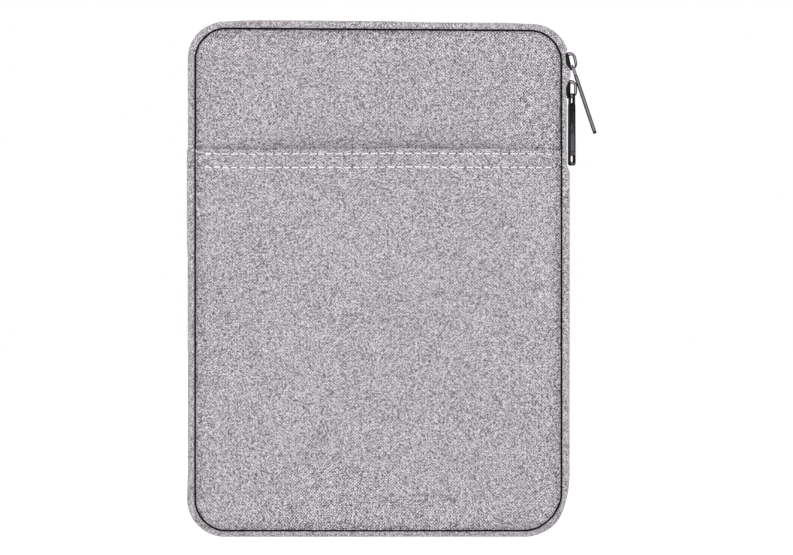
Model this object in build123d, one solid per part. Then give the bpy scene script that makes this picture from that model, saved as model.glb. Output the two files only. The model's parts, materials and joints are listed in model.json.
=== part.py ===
from build123d import *
import math
import os

# Padded tablet case that stands on its bottom edge.  Millimetres, +Z up, front towards -Y.
# The origin is the middle of the flat bottom.  A two-way zip runs up both sides and over the top,
# and the front half folds forward about the line where the zip ends.

# ---- driving dimensions -----------------------------------------------------------------------
WIDTH = 202.0
HEIGHT = 272.0
TOP_DROP = 1.4            # the top edge ends this much lower at the right-hand corner
CORNER_R = 20.0
RIGHT_FOOT_R = 24.0       # the bottom right corner is rounder than the others
HALF_DEPTH = 11.0         # middle plane to the outer face of either half
FOLD_Z = 110.0            # height of the fold line, which is also where the zip ends
FOLD_GAP = 0.3            # clear slit between the two bodies at the fold
POCKET_MOUTH_Z = 204.8
POCKET_SLACK = 5.6        # how far the middle of the pocket mouth stands off the front
POCKET_FOOT_DEPTH = 12.0  # the slack runs out this far below the bottom edge

LINING_T = 1.2
PADDING_T = 3.9
COVER_T = 0.7
BAND_W = 4.0              # border strip seen on each face, outside the seam
BAND_T = 0.7
SEAM_W = 0.6
WRAP_T = 0.4              # pocket fabric where it is turned over the border

WALL_HALF = 6.2           # half the depth of the strip between the two borders
GUSSET_T = 1.2
SIDE_RECESS = 1.3         # the strip lies this far behind the borders at the sides
STRIP_SLANT = 12.0        # degrees at which it leaves the floor towards each bottom corner
GUSSET_LINING_T = 1.0
END_TAB_H = 14.0
BINDING_INSET = 3.9
BINDING_W = 2.1
BINDING_T = 1.1

ZIP_INSET = 2.4           # middle of the coils, measured in from the outline
ZIP_BULGE = 0.4           # the tape swells out by this between the two sliders
BULGE_TOP_Z = 244.6
BULGE_FOOT_Z = 242.4
BULGE_R = 10.0
ZIP_CORNER_R = 22.6       # corner of the zip nearest the sliders
COIL_T = 1.6
COIL_W = 2.4
COIL_SLIT = 1.0
TAPE_T = 0.6

SLIDER_L = 9.9
SLIDER_W = 8.6
PLATE_T = 0.9
LIP_T = 0.6
POST_T = 0.8
BRIDGE_W = 1.4
BRIDGE_T = 1.5
BRIDGE_FOOT = 0.4
BRIDGE_H = 4.5
PULL_L = 37.8
PULL_W = 5.0
PULL_T = 1.9
EYE_T = 0.9
UPPER_SLIDER_ARC = 12.4   # degrees up the corner from its start
LOWER_SLIDER_Z = 236.5
UPPER_PULL_LEAN = 6.1     # degrees off the slider's own line
LOWER_PULL_TWIST = 40.0   # degrees about its own length

STITCH_L = 3.7
STITCH_PITCH = 4.6
STITCH_DROPS = {"upper": 2.6, "lower": 9.8}
HEM_DEPTH = 11.0

FACE_IN = HALF_DEPTH - COVER_T
PADDING_IN = FACE_IN - PADDING_T
LINING_IN = PADDING_IN - LINING_T
PANEL_INSET = BAND_W + SEAM_W
TOO_BIG = 600.0


# ---- plane routes with rounded corners, and their parallels -------------------------------------
def outline_points():
    half = WIDTH / 2
    return [(-half, HEIGHT), (half, HEIGHT - TOP_DROP), (half, 0.0), (-half, 0.0)]


OUTLINE_RADII = [CORNER_R, CORNER_R, RIGHT_FOOT_R, CORNER_R]


def unit(a, b):
    length = math.hypot(b[0] - a[0], b[1] - a[1])
    return ((b[0] - a[0]) / length, (b[1] - a[1]) / length)


def bend_at(before, here, after):
    """Signed turn, positive to the right, between two legs of a route."""
    d = unit(before, here)
    e = unit(here, after)
    return math.atan2(d[1] * e[0] - d[0] * e[1], d[0] * e[0] + d[1] * e[1])


def shifted(points, radii, distance, closed):
    """The parallel route this far to the right, which is inwards on a clockwise route."""
    count = len(points)
    moved, new_radii = [], []
    corner = 0
    for i, here in enumerate(points):
        first, last = (i == 0 and not closed), (i == count - 1 and not closed)
        if first or last:
            d = unit(points[0], points[1]) if first else unit(points[-2], points[-1])
            moved.append((here[0] + distance * d[1], here[1] - distance * d[0]))
            continue
        before, after = points[i - 1], points[(i + 1) % count]
        turn = bend_at(before, here, after)
        d = unit(before, here)
        reach = distance * math.tan(turn / 2)
        moved.append((here[0] + distance * d[1] - reach * d[0], here[1] - distance * d[0] - reach * d[1]))
        new_radii.append(radii[corner] - math.copysign(1, turn) * distance)
        corner += 1
    return moved, new_radii


def corner_centre(before, here, after, radius):
    d, e = unit(here, before), unit(here, after)
    half = abs(bend_at(before, here, after)) / 2
    middle = unit((0, 0), (d[0] + e[0], d[1] + e[1]))
    reach = radius / math.cos(half)
    return (here[0] + middle[0] * reach, here[1] + middle[1] * reach)


def at_depth(y):
    return Plane(origin=(0, y, 0), x_dir=(1, 0, 0), z_dir=(0, -1, 0))


def filled(route, y_low, y_high):
    face = at_depth(y_high) * make_face(route)
    return extrude(face, y_high - y_low, dir=(0, -1, 0))


def panel(inset, y_low, y_high, side_recess=0.0):
    outline = [(x - math.copysign(side_recess, x), z) for x, z in outline_points()]
    points, radii = shifted(outline, OUTLINE_RADII, inset, closed=True)
    return filled(FilletPolyline(*points, radius=radii, close=True), y_low, y_high)


def ring(inset_out, inset_in, y_low, y_high, side_recess=0.0):
    outer = panel(inset_out, y_low, y_high, side_recess)
    return outer - panel(inset_in, y_low - 1, y_high + 1, side_recess)


def rounded_panel(inset, y_inner, y_outer, radius):
    """A panel whose outer face, at y_outer, has rounded edges."""
    body = panel(inset, min(y_inner, y_outer), max(y_inner, y_outer))
    face = body.faces().sort_by(Axis.Y)[-1 if y_outer > y_inner else 0]
    return fillet(face.edges(), radius)


def block(x_low, x_high, y_low, y_high, z_low, z_high):
    size = (x_high - x_low, y_high - y_low, z_high - z_low)
    middle = ((x_low + x_high) / 2, (y_low + y_high) / 2, (z_low + z_high) / 2)
    return Pos(*middle) * Box(*size)


def between(body, z_low, z_high):
    return body & block(-TOO_BIG, TOO_BIG, -TOO_BIG, TOO_BIG, z_low, z_high)


def under_fold(body):
    return between(body, -TOO_BIG, FOLD_Z - FOLD_GAP / 2)


def over_fold(body):
    return between(body, FOLD_Z + FOLD_GAP / 2, TOO_BIG)


# ---- the two padded halves ----------------------------------------------------------------------
def half_parts(side, inset):
    """Cover, padding, lining, border, seam cord and binding of one half; side is -1 at the front."""

    def span(a, b):
        return (side * b, side * a) if side < 0 else (a, b)

    foam = rounded_panel(inset + BAND_T, side * PADDING_IN, side * FACE_IN, 2.6)
    outer_y = HALF_DEPTH - (WRAP_T if side < 0 else 0)
    band = rounded_panel(inset, side * WALL_HALF, side * outer_y, 3.2)
    band = band - panel(BAND_W, -TOO_BIG / 2, TOO_BIG / 2)
    return {
        "cover_panel": panel(PANEL_INSET, *span(FACE_IN, HALF_DEPTH)),
        "padding": foam,
        "lining": panel(BAND_W + 2.0, *span(LINING_IN, PADDING_IN)),
        "edge_band": band - foam,
        "seam_cord": ring(BAND_W + 0.05, PANEL_INSET - 0.05, *span(FACE_IN, HALF_DEPTH - 0.4)),
        "inner_binding": ring(BINDING_INSET, BINDING_INSET + BINDING_W,
                              *span(WALL_HALF - 0.1 - BINDING_T, WALL_HALF - 0.1)),
    }


# ---- pocket on the front ------------------------------------------------------------------------
POCKET_REACH = WIDTH / 2 - PANEL_INSET + 1


def pocket_gap(x, z):
    """How far the back of the pocket panel stands off the front cover."""
    rise = (z + POCKET_FOOT_DEPTH) / (POCKET_MOUTH_Z + POCKET_FOOT_DEPTH)
    return 0.05 + POCKET_SLACK * rise * (1 - (x / POCKET_REACH) ** 2)


def bowed_section(z, front, back):
    """Level section of a bowed sheet; front and back are its depths off the pocket's back surface."""

    def bow(depth):
        ends = -HALF_DEPTH - depth
        middle = ends - (pocket_gap(0, z) - 0.05)
        return [(-POCKET_REACH, ends), (0, middle), (POCKET_REACH, ends)]

    outer = ThreePointArc(*bow(front))
    inner = ThreePointArc(*reversed(bow(back)))
    sides = Line(outer @ 1, inner @ 0) + Line(inner @ 1, outer @ 0)
    return Pos(0, 0, z) * make_face(outer + inner + sides)


def bowed_sheet(z_low, z_high, front, back):
    return loft([bowed_section(z, front, back) for z in (z_low, z_high)], ruled=True)


def pocket_panel():
    sheet = bowed_sheet(PANEL_INSET, POCKET_MOUTH_Z, 0.05 + COVER_T, 0.05)
    return sheet & panel(PANEL_INSET, -40, 0)


def pocket_hem():
    """The fabric turned in behind the mouth."""
    sheet = bowed_sheet(POCKET_MOUTH_Z - HEM_DEPTH, POCKET_MOUTH_Z, 0.0, -0.45)
    return sheet & block(-84, 84, -40, 0, 0, TOO_BIG)


def pocket_edge_wrap():
    """Pocket fabric turned over the border, down to the strip at the side."""
    outside = rounded_panel(0, -WALL_HALF, -HALF_DEPTH, 3.4)
    inside = rounded_panel(WRAP_T, -WALL_HALF + 1, -HALF_DEPTH + WRAP_T, 3.2)
    wrap = outside - inside - panel(BAND_W, -40, 40)
    return between(wrap, -TOO_BIG, POCKET_MOUTH_Z)


def stitch_row(drop):
    z = POCKET_MOUTH_Z - drop
    count = int((WIDTH - 2 * PANEL_INSET - 8) / STITCH_PITCH)
    stitches = []
    for i in range(count):
        x = (i - (count - 1) / 2) * STITCH_PITCH
        y = -HALF_DEPTH - pocket_gap(x, z) - COVER_T - 0.22
        slope = math.degrees(math.atan(2 * POCKET_SLACK * x / POCKET_REACH**2))
        stitches.append(Pos(x, y, z) * Rot(0, 0, slope) * Box(STITCH_L, 0.3, 0.5))
    return Compound(children=stitches)


# ---- strip under the zip, and the zip's tapes and coils -------------------------------------------
def strip_line():
    """Corners of the strip's outer line, and their radii; it meets the floor at an angle."""
    slant = math.radians(STRIP_SLANT)
    side_x = WIDTH / 2 - SIDE_RECESS
    points, radii = [(-side_x, HEIGHT), (side_x, HEIGHT)], [0, 0]
    for side, foot_r in ((1, RIGHT_FOOT_R), (-1, CORNER_R)):
        radius = foot_r - SIDE_RECESS
        touch_x = WIDTH / 2 - foot_r + radius * math.sin(slant)
        touch_z = foot_r - radius * math.cos(slant)
        floor_x = touch_x - touch_z / math.tan(slant)
        raised, flat = (side * side_x, (side_x - floor_x) * math.tan(slant)), (side * floor_x, 0.0)
        points += [raised, flat][::side]
        radii += [radius, 0][::side]
    return points, radii


def bottom_strip(inset_out, inset_in, half_width, top_z):
    def solid(inset, half):
        points, radii = shifted(*strip_line(), inset, closed=True)
        face = make_face(Polyline(*points, close=True))
        for place, radius in zip(points, radii):
            if radius > 1:
                face = fillet(face.vertices().sort_by_distance(place)[0], radius)
        return extrude(at_depth(half) * face, 2 * half, dir=(0, -1, 0))

    strip = solid(inset_out, half_width) - solid(inset_in, half_width + 1)
    return between(strip, -TOO_BIG, top_z)


def end_tab(side):
    strip = ring(0, GUSSET_T, -WALL_HALF + 0.2, WALL_HALF - 0.2, SIDE_RECESS)
    top = FOLD_Z - FOLD_GAP / 2
    return between(strip, top - END_TAB_H, top) & block(*sorted((0, side * TOO_BIG)), -40, 40, 0, 400)


def zip_points():
    """Middle line of the coils, clockwise from the left end to the right end."""
    (left, top), (right, top_right), *_ = shifted(outline_points(), OUTLINE_RADII, ZIP_INSET, True)[0]
    slope = (top_right - top) / (right - left)
    foot = FOLD_Z + FOLD_GAP / 2
    return [(left, foot), (left, top), (right + ZIP_BULGE, top_right + slope * ZIP_BULGE),
            (right + ZIP_BULGE, BULGE_TOP_Z), (right, BULGE_FOOT_Z), (right, foot)]


ZIP_RADII = [CORNER_R - ZIP_INSET, ZIP_CORNER_R, BULGE_R, BULGE_R]


def zip_strip(depth_out, depth_in, y_low, y_high):
    """A strip along the zip, between two distances inwards from the middle of the coils."""

    def parallel(depth):
        points, radii = shifted(zip_points(), ZIP_RADII, depth, closed=False)
        return FilletPolyline(*points, radius=radii)

    outer, inner = parallel(depth_out), parallel(depth_in)
    ends = Line(outer @ 0, inner @ 0) + Line(outer @ 1, inner @ 1)
    return filled(outer + inner + ends, y_low, y_high)


def zip_half(side):
    def span(a, b):
        return (-b, -a) if side < 0 else (a, b)

    coil = zip_strip(-COIL_T / 2, COIL_T / 2, *span(COIL_SLIT / 2, COIL_SLIT / 2 + COIL_W))
    tape_out = COIL_T / 2 + 0.05
    tape_reach = WALL_HALF - BINDING_T - 0.15
    tape = zip_strip(tape_out, tape_out + TAPE_T, *span(COIL_SLIT / 2 + 0.4, tape_reach))
    return tape, coil


# ---- sliders and pulls ----------------------------------------------------------------------------
# A slider is drawn with its length along Z, across the zip along Y, and +X away from the case.
PLATE_OUT = 2.0                       # outer face of the outer plate, from the middle of the coils
PLATE_IN = PLATE_OUT - PLATE_T
INNER_PLATE = -2.05                   # near face of the plate inside the case
PIVOT_U = -2.7                        # the pull's cross bar, along the slider
PIVOT_V = PLATE_OUT + 1.65            # and out from the coils


def plate_face(margin, wide_end):
    wide, narrow = SLIDER_W / 2 - margin, SLIDER_W / 2 - 0.5 - margin
    end = SLIDER_L / 2
    points = [(-wide, end), (wide, end), (wide, 1.0), (narrow, -end), (-narrow, -end), (-wide, 1.0)]
    points = [(y, u * wide_end) for y, u in points]
    return make_face(FilletPolyline(*points, radius=[1.4, 1.4, 3.0, 1.4, 1.4, 3.0], close=True))


def plate(margin, wide_end, x_low, x_high):
    return extrude(Plane.YZ.offset(x_low) * plate_face(margin, wide_end), x_high - x_low, dir=(1, 0, 0))


def slider_body(wide_end):
    outer = plate(0, wide_end, PLATE_IN, PLATE_OUT)
    outer = fillet(outer.faces().sort_by(Axis.X)[-1].edges(), 0.4)
    inner = plate(0.3, wide_end, INNER_PLATE - PLATE_T, INNER_PLATE)
    lips = plate(0, wide_end, -0.45, PLATE_IN) - plate(LIP_T, wide_end, -5, 5)
    lips = lips & block(-5, 5, -10, 10, -SLIDER_L / 2 + 1.5, SLIDER_L / 2 - 1.5)
    post = block(INNER_PLATE, PLATE_IN, -POST_T / 2, POST_T / 2, 1.4, 3.8)
    if wide_end < 0:
        post = Rot(180, 0, 0) * post
    return outer + lips + post + inner


def slider_bridge():
    def outline(foot, top, half, radii):
        points = [(foot, -half), (top, -half), (top, half), (foot, half)]
        face_route = FilletPolyline(*points, radius=radii, close=True)
        return filled(face_route, -BRIDGE_W / 2, BRIDGE_W / 2)

    half = SLIDER_L / 2 - 0.1
    top = PLATE_OUT + BRIDGE_H
    loop = outline(PLATE_OUT, top, half, [0.3, 3.9, 3.9, 0.3])
    window = outline(PLATE_OUT + BRIDGE_FOOT, top - BRIDGE_T, half - BRIDGE_T, [0.5, 0.8, 0.8, 0.5])
    return loop - window


def pull_tab():
    """A pull that hangs along -Z from its cross bar at the origin, its broad faces towards X."""

    def tapered(half_top, half_foot, z_top, z_foot, thick, radius):
        points = [(-half_top, z_top), (half_top, z_top), (half_foot, z_foot), (-half_foot, z_foot)]
        face = make_face(FilletPolyline(*points, radius=radius, close=True))
        return extrude(Plane.YZ.offset(-thick / 2) * face, thick, dir=(1, 0, 0))

    half_eye, half_top, half_foot = 1.9, 2.3, PULL_W / 2
    body_top = -5.2
    eye = tapered(half_eye, half_eye, 0.45, body_top - 1, EYE_T, [0.8, 0.8, 0.1, 0.1])
    eye = eye - tapered(1.45, 1.45, -0.45, -4.6, 5, 0.5)
    body = tapered(half_top, half_foot, body_top, -PULL_L, PULL_T, [0.7, 0.7, 1.5, 1.5])
    body = fillet(body.faces().filter_by(Axis.X).edges(), 0.3)
    recess = tapered(half_top - 0.8, half_foot - 0.9, body_top - 1.6, -30.2, 0.4, 0.5)
    for side in (-1, 1):
        body = body - Pos(side * (PULL_T / 2 - 0.05), 0, 0) * recess
    slot = tapered(1.2, 1.25, -32.0, -35.2, 5, 1.0)
    return eye + body - slot


def zip_corner():
    points = zip_points()
    return corner_centre(points[1], points[2], points[3], ZIP_CORNER_R)


def lower_slider_place():
    return Pos(WIDTH / 2 - ZIP_INSET, 0, LOWER_SLIDER_Z)


def upper_slider_place():
    """Up the corner: turned about the corner's centre from level with it."""
    x, z = zip_corner()
    return Pos(x, 0, z) * Rot(0, -UPPER_SLIDER_ARC, 0) * Pos(ZIP_CORNER_R, 0, 0)


def pivot(place):
    return place * Pos(PIVOT_V, 0, PIVOT_U)


# ---- all the nodes --------------------------------------------------------------------------------
def build():
    nodes = {}
    for name, body in half_parts(1, 0.0).items():
        nodes["back_" + name] = body
    for name, body in half_parts(-1, WRAP_T).items():
        nodes["front_" + name + "_lower"] = under_fold(body)
        nodes["front_" + name + "_upper"] = over_fold(body)
    for name, body in (("pocket_panel", pocket_panel()), ("pocket_edge_wrap", pocket_edge_wrap())):
        nodes[name + "_lower"] = under_fold(body)
        nodes[name + "_upper"] = over_fold(body)
    nodes["pocket_hem"] = pocket_hem()
    for row, drop in STITCH_DROPS.items():
        nodes["hem_stitches_" + row] = stitch_row(drop)

    tab_foot = FOLD_Z - FOLD_GAP / 2 - END_TAB_H
    nodes["bottom_gusset"] = bottom_strip(0, GUSSET_T, WALL_HALF - 0.1, tab_foot - 0.1)
    lining_in = GUSSET_T + 0.1 + GUSSET_LINING_T
    nodes["gusset_lining"] = bottom_strip(GUSSET_T + 0.1, lining_in, 4.8, FOLD_Z - FOLD_GAP / 2)
    nodes["zip_end_tab_left"] = end_tab(-1)
    nodes["zip_end_tab_right"] = end_tab(1)
    for name, side in (("back", 1), ("front", -1)):
        nodes["zipper_tape_" + name], nodes["zipper_coil_" + name] = zip_half(side)

    upper, lower = upper_slider_place(), lower_slider_place()
    nodes["slider_upper_body"] = upper * slider_body(-1)
    nodes["slider_lower_body"] = lower * slider_body(1)
    nodes["slider_upper_bridge"] = upper * slider_bridge()
    nodes["slider_lower_bridge"] = lower * slider_bridge()
    nodes["pull_upper"] = pivot(upper) * Rot(0, -UPPER_PULL_LEAN, 0) * pull_tab()
    nodes["pull_lower"] = pivot(lower) * Rot(0, 0, -LOWER_PULL_TWIST) * pull_tab()
    return nodes


os.makedirs("parts", exist_ok=True)
for node, shape in build().items():
    export_step(shape, f"parts/{node}.step")
for label, place in (("upper", upper_slider_place()), ("lower", lower_slider_place())):
    print(label, "pull pivot", tuple(round(c, 3) for c in pivot(place).position))
print("zip corner centre", tuple(round(c, 3) for c in zip_corner()))
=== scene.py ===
import bpy
import json
import math
import random
import numpy as np
from mathutils import Matrix, Vector


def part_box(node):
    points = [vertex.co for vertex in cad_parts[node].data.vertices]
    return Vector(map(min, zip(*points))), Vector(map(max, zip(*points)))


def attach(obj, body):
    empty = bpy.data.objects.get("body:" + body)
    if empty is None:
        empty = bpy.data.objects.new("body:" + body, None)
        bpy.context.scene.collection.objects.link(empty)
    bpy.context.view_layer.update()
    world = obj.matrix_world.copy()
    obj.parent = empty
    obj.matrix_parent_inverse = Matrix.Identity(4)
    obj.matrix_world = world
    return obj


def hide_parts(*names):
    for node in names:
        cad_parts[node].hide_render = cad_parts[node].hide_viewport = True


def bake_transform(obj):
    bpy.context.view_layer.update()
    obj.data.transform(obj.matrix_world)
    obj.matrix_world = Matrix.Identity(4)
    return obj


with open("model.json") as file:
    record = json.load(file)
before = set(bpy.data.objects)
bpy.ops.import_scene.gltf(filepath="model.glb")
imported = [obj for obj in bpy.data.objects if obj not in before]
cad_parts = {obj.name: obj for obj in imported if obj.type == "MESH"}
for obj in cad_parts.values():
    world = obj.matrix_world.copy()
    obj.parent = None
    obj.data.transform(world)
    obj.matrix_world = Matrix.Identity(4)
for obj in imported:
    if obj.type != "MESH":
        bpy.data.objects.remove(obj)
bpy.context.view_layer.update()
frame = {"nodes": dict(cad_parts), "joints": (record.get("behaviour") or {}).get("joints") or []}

# Looks for the padded tablet case.  Lengths are in metres; MM turns a millimetre value into metres.
MM = 0.001
random.seed(7)

# ---- sizes, from the frame and from the case's own construction ---------------------------------
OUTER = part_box("back_edge_band")
WIDTH = OUTER[1].x - OUTER[0].x
HEIGHT = 272.0 * MM
TOP_DROP = 1.4 * MM               # the top edge ends this much lower at the right-hand corner
CORNER_R = 20.0 * MM              # three corners; the right-hand foot is rounder
RIGHT_FOOT_R = 24.0 * MM
FACE = OUTER[1].y                 # outer face of the back half; the front mirrors it
FOLD_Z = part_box("front_padding_upper")[0].z
MOUTH_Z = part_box("pocket_panel_upper")[1].z
POCKET_SLACK = 5.6 * MM
POCKET_FOOT_DEPTH = 12.0 * MM
PANEL_INSET = 4.6 * MM            # edge of the cover and pocket panels, measured in from the outline
SEAM_INSET = 4.35 * MM
SEAM_DEPTH = 10.42 * MM
SEAM_RADIUS = 0.50 * MM
PADDING_INSET = 1.1 * MM
LINING_INSET = 6.0 * MM
POCKET_REACH = WIDTH / 2 - PANEL_INSET + 1 * MM
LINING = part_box("back_lining")
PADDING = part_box("back_padding")
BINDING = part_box("back_inner_binding")
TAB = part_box("zip_end_tab_right")
ZIP_INSET = 2.4 * MM
ZIP_BULGE = 0.4 * MM              # the zip swells out this far above the lower slider
ZIP_OPEN_Z = 243.6 * MM           # middle of the stretch between the sliders, where the coils stand apart
SIDE_RECESS = 1.3 * MM            # the strip under the zip lies this far behind the borders
STRIP_SLANT = math.radians(12)    # slope at which it leaves the floor towards the bottom corners
SIDES = ((-1, "front"), (1, "back"))
STITCH_DROPS = {"upper": 2.6 * MM, "lower": 9.8 * MM}    # below the pocket's mouth
STITCH_PITCH = 4.6 * MM
STITCH_L = 3.8 * MM


def smooth(low, high, value):
    t = np.clip((np.asarray(value, float) - low) / (high - low), 0, 1)
    return t * t * (3 - 2 * t)


def hump(value, middle, reach, power):
    return np.exp(-(((value - middle) / reach) ** power))


def in_mm(rows):
    """Rows of millimetre values, in metres."""
    return [tuple(value * MM for value in row) for row in rows]


def distances(places):
    """How far along a route each of its places lies."""
    return np.concatenate([[0], np.cumsum(np.linalg.norm(np.diff(places, axis=0), axis=1))])


# ---- routes with rounded corners ------------------------------------------------------------------
def outline():
    half = WIDTH / 2
    points = [(-half, HEIGHT), (half, HEIGHT - TOP_DROP), (half, 0.0), (-half, 0.0)]
    return points, [CORNER_R, CORNER_R, RIGHT_FOOT_R, CORNER_R]


def zip_line():
    """Middle of the coils, clockwise from the left end to the right end."""
    left, right = -WIDTH / 2 + ZIP_INSET, WIDTH / 2 - ZIP_INSET
    top, top_right = HEIGHT - ZIP_INSET, HEIGHT - TOP_DROP - ZIP_INSET
    bulged = right + ZIP_BULGE
    points = [(left, FOLD_Z), (left, top), (bulged, top_right), (bulged, 244.6 * MM),
              (right, 242.4 * MM), (right, FOLD_Z)]
    return points, [CORNER_R - ZIP_INSET, 22.6 * MM, 10 * MM, 10 * MM]


def rounded_route(points, radii, closed, step=4 * MM, arc_steps=14):
    """Places and outward normals along a clockwise route in the XZ plane."""
    points = [np.array(p, float) for p in points]
    count = len(points)
    corners = range(count) if closed else range(1, count - 1)
    places, normals = [], []

    def add_line(a, b):
        length = np.linalg.norm(b - a)
        d = (b - a) / length
        pieces = max(1, round(length / step))
        for k in range(pieces + 1):
            places.append(a + d * length * k / pieces)
            normals.append(np.array([-d[1], d[0]]))

    start = None
    for number, i in enumerate(corners):
        before, here, after = points[i - 1], points[i], points[(i + 1) % count]
        d = (here - before) / np.linalg.norm(here - before)
        e = (after - here) / np.linalg.norm(after - here)
        turn = math.atan2(d[1] * e[0] - d[0] * e[1], d @ e)
        tangent = radii[number] * math.tan(abs(turn) / 2)
        first, last = here - d * tangent, here + e * tangent
        if start is None:
            start = before if not closed else None
        if start is not None:
            add_line(start, first)
        else:
            opening = first
        side = math.copysign(1, turn)
        centre = first + side * radii[number] * np.array([d[1], -d[0]])
        pieces = max(3, round(arc_steps * abs(turn) / (math.pi / 2)))
        for k in range(1, pieces):
            angle = -turn * k / pieces
            arm = first - centre
            c, s = math.cos(angle), math.sin(angle)
            arm = np.array([arm[0] * c - arm[1] * s, arm[0] * s + arm[1] * c])
            places.append(centre + arm)
            normals.append(side * arm / radii[number])
        start = last
    add_line(start, opening if closed else points[-1])
    places, normals = np.array(places), np.array(normals)
    if closed:
        places, normals = places[:-1], normals[:-1]
    return places, normals


def depth_inside(x, z):
    """Distance inwards from the case's outline, at places inside it."""
    radius = np.where((x > 0) & (z < HEIGHT / 2), RIGHT_FOOT_R, CORNER_R)
    top = HEIGHT - TOP_DROP * (x / WIDTH + 0.5) * smooth(HEIGHT * 0.5, HEIGHT * 0.6, z)
    qx = np.abs(x) - WIDTH / 2 + radius
    qz = np.abs(z - top / 2) - top / 2 + radius
    outside = np.hypot(np.maximum(qx, 0), np.maximum(qz, 0))
    return radius - outside - np.minimum(np.maximum(qx, qz), 0)


def settle(x, z):
    """The top sits lower towards the right-hand corner."""
    return z - TOP_DROP * (x / WIDTH + 0.5) * smooth(205 * MM, 248 * MM, z)


def soft_noise(x, z, scale, seed):
    """Smooth waves that stand for the unevenness of a sewn, padded sheet, between -1 and 1."""
    rng = np.random.default_rng(seed)
    total = np.zeros_like(np.asarray(x, float))
    for _ in range(6):
        angle, phase = rng.uniform(0, math.tau, 2)
        k = math.tau / scale * rng.uniform(0.6, 1.5)
        total += np.sin((x * math.cos(angle) + z * math.sin(angle)) * k + phase)
    return total / 6


# ---- meshes ----------------------------------------------------------------------------------------
def make_mesh(name, verts, faces, uvs, material):
    data = bpy.data.meshes.new(name)
    data.from_pydata([tuple(v) for v in verts], [], [tuple(f) for f in faces])
    layer = data.uv_layers.new(name="UVMap")
    loop_verts = np.empty(len(data.loops), np.int32)
    data.loops.foreach_get("vertex_index", loop_verts)
    layer.data.foreach_set("uv", np.asarray(uvs, np.float32)[loop_verts].ravel())
    data.polygons.foreach_set("use_smooth", [True] * len(data.polygons))
    data.validate()
    obj = bpy.data.objects.new(name, data)
    bpy.context.scene.collection.objects.link(obj)
    data.materials.append(material)
    return obj


def select(*objs):
    """Selects these alone, and makes the first of them active."""
    for other in bpy.context.selected_objects:
        other.select_set(False)
    for obj in objs:
        obj.select_set(True)
    bpy.context.view_layer.objects.active = objs[0]


def apply_modifier(obj, kind, **settings):
    modifier = obj.modifiers.new("work", kind)
    for key, value in settings.items():
        setattr(modifier, key, value)
    select(obj)
    bpy.ops.object.modifier_apply(modifier=modifier.name)
    return obj


def quads(rows, cols, wrap=False, flip=False):
    faces = []
    for r in range(rows - 1):
        for c in range(cols if wrap else cols - 1):
            d = (c + 1) % cols
            here, above = r * cols, (r + 1) * cols
            face = (here + c, here + d, above + d, above + c)
            faces.append(face[::-1] if flip else face)
    return faces


EDGE_STEPS = np.array([0, 0.3, 0.7, 1.3, 2.2, 3.6, 5.6, 8.5, 12.5]) * MM


def spread(low, high, middle_step):
    """Positions between two ends, closer together near the ends."""
    inner_low, inner_high = low + EDGE_STEPS[-1], high - EDGE_STEPS[-1]
    count = max(2, round((inner_high - inner_low) / middle_step))
    middle = np.linspace(inner_low, inner_high, count + 1)[1:-1]
    return np.concatenate([low + EDGE_STEPS, middle, (high - EDGE_STEPS)[::-1]])


def row_heights(inset, z_high):
    """Heights of a panel's rows; they crowd round the rounded corners."""
    foot_r, top_r = RIGHT_FOOT_R - inset, CORNER_R - inset
    angles = np.linspace(0, math.pi / 2, 15)
    foot = inset + foot_r * (1 - np.cos(angles))
    if z_high is None:
        end = (HEIGHT - inset - top_r * (1 - np.cos(angles)))[::-1]
    else:
        end = z_high - EDGE_STEPS[::-1]
    middle = np.arange(foot[-1] + 3 * MM, end[0] - 2 * MM, 3.6 * MM)
    return np.concatenate([foot, middle, end])


def row_ends(z, inset):
    """Left and right ends of a panel's row at this height."""
    ends = []
    for side, foot_r in ((-1, CORNER_R), (1, RIGHT_FOOT_R)):
        radius_foot, radius_top = foot_r - inset, CORNER_R - inset
        x = WIDTH / 2 - inset
        below, above = inset + radius_foot - z, z - (HEIGHT - inset - radius_top)
        if below > 0:
            x -= radius_foot - math.sqrt(max(radius_foot**2 - below**2, 0))
        if above > 0:
            x -= radius_top - math.sqrt(max(radius_top**2 - above**2, 0))
        ends.append(side * x)
    return ends


def panel_grid(inset, z_high=None):
    """x and z of a grid that fills the outline less the inset; rows go up, columns go right."""
    heights = row_heights(inset, z_high)
    shares = spread(0, WIDTH - 2 * inset, 5 * MM) / (WIDTH - 2 * inset)
    x = np.empty((len(heights), len(shares)))
    for r, z in enumerate(heights):
        left, right = row_ends(z, inset)
        x[r] = left + (right - left) * shares
    z = np.repeat(heights[:, None], len(shares), 1)
    return x, settle(x, z)


def grid_sheet(name, side, x, z, y, material, thickness):
    """A sheet over a grid, with real thickness inwards."""
    rows, cols = x.shape
    verts = np.stack([x, y, z], -1).reshape(-1, 3)
    uvs = np.stack([x, z], -1).reshape(-1, 2)
    obj = make_mesh(name, verts, quads(rows, cols, flip=side > 0), uvs, material)
    return apply_modifier(obj, "SOLIDIFY", thickness=thickness, offset=-1, use_even_offset=True)


def loft(name, places, normals, profile, side, material, closed, thickness=0.0, shape=None):
    """A strip along a route; the profile lists (inset, depth) from the face round to the side."""
    profile = np.array(profile, float)
    cols = len(places)
    along = distances(places)
    verts, uvs = [], []
    for (inset, depth), reach in zip(profile, distances(profile)):
        insets = np.full(cols, inset)
        depths = np.full(cols, depth)
        if shape:
            insets, depths = shape(places, insets, depths)
        at = places - normals * insets[:, None]
        verts.append(np.stack([at[:, 0], side * depths, at[:, 1]], -1))
        uvs.append(np.stack([along, np.full(cols, reach)], -1))
    obj = make_mesh(name, np.concatenate(verts), quads(len(profile), cols, wrap=closed, flip=side > 0),
                    np.concatenate(uvs), material)
    if thickness:
        apply_modifier(obj, "SOLIDIFY", thickness=thickness, offset=-1)
    return obj


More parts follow.
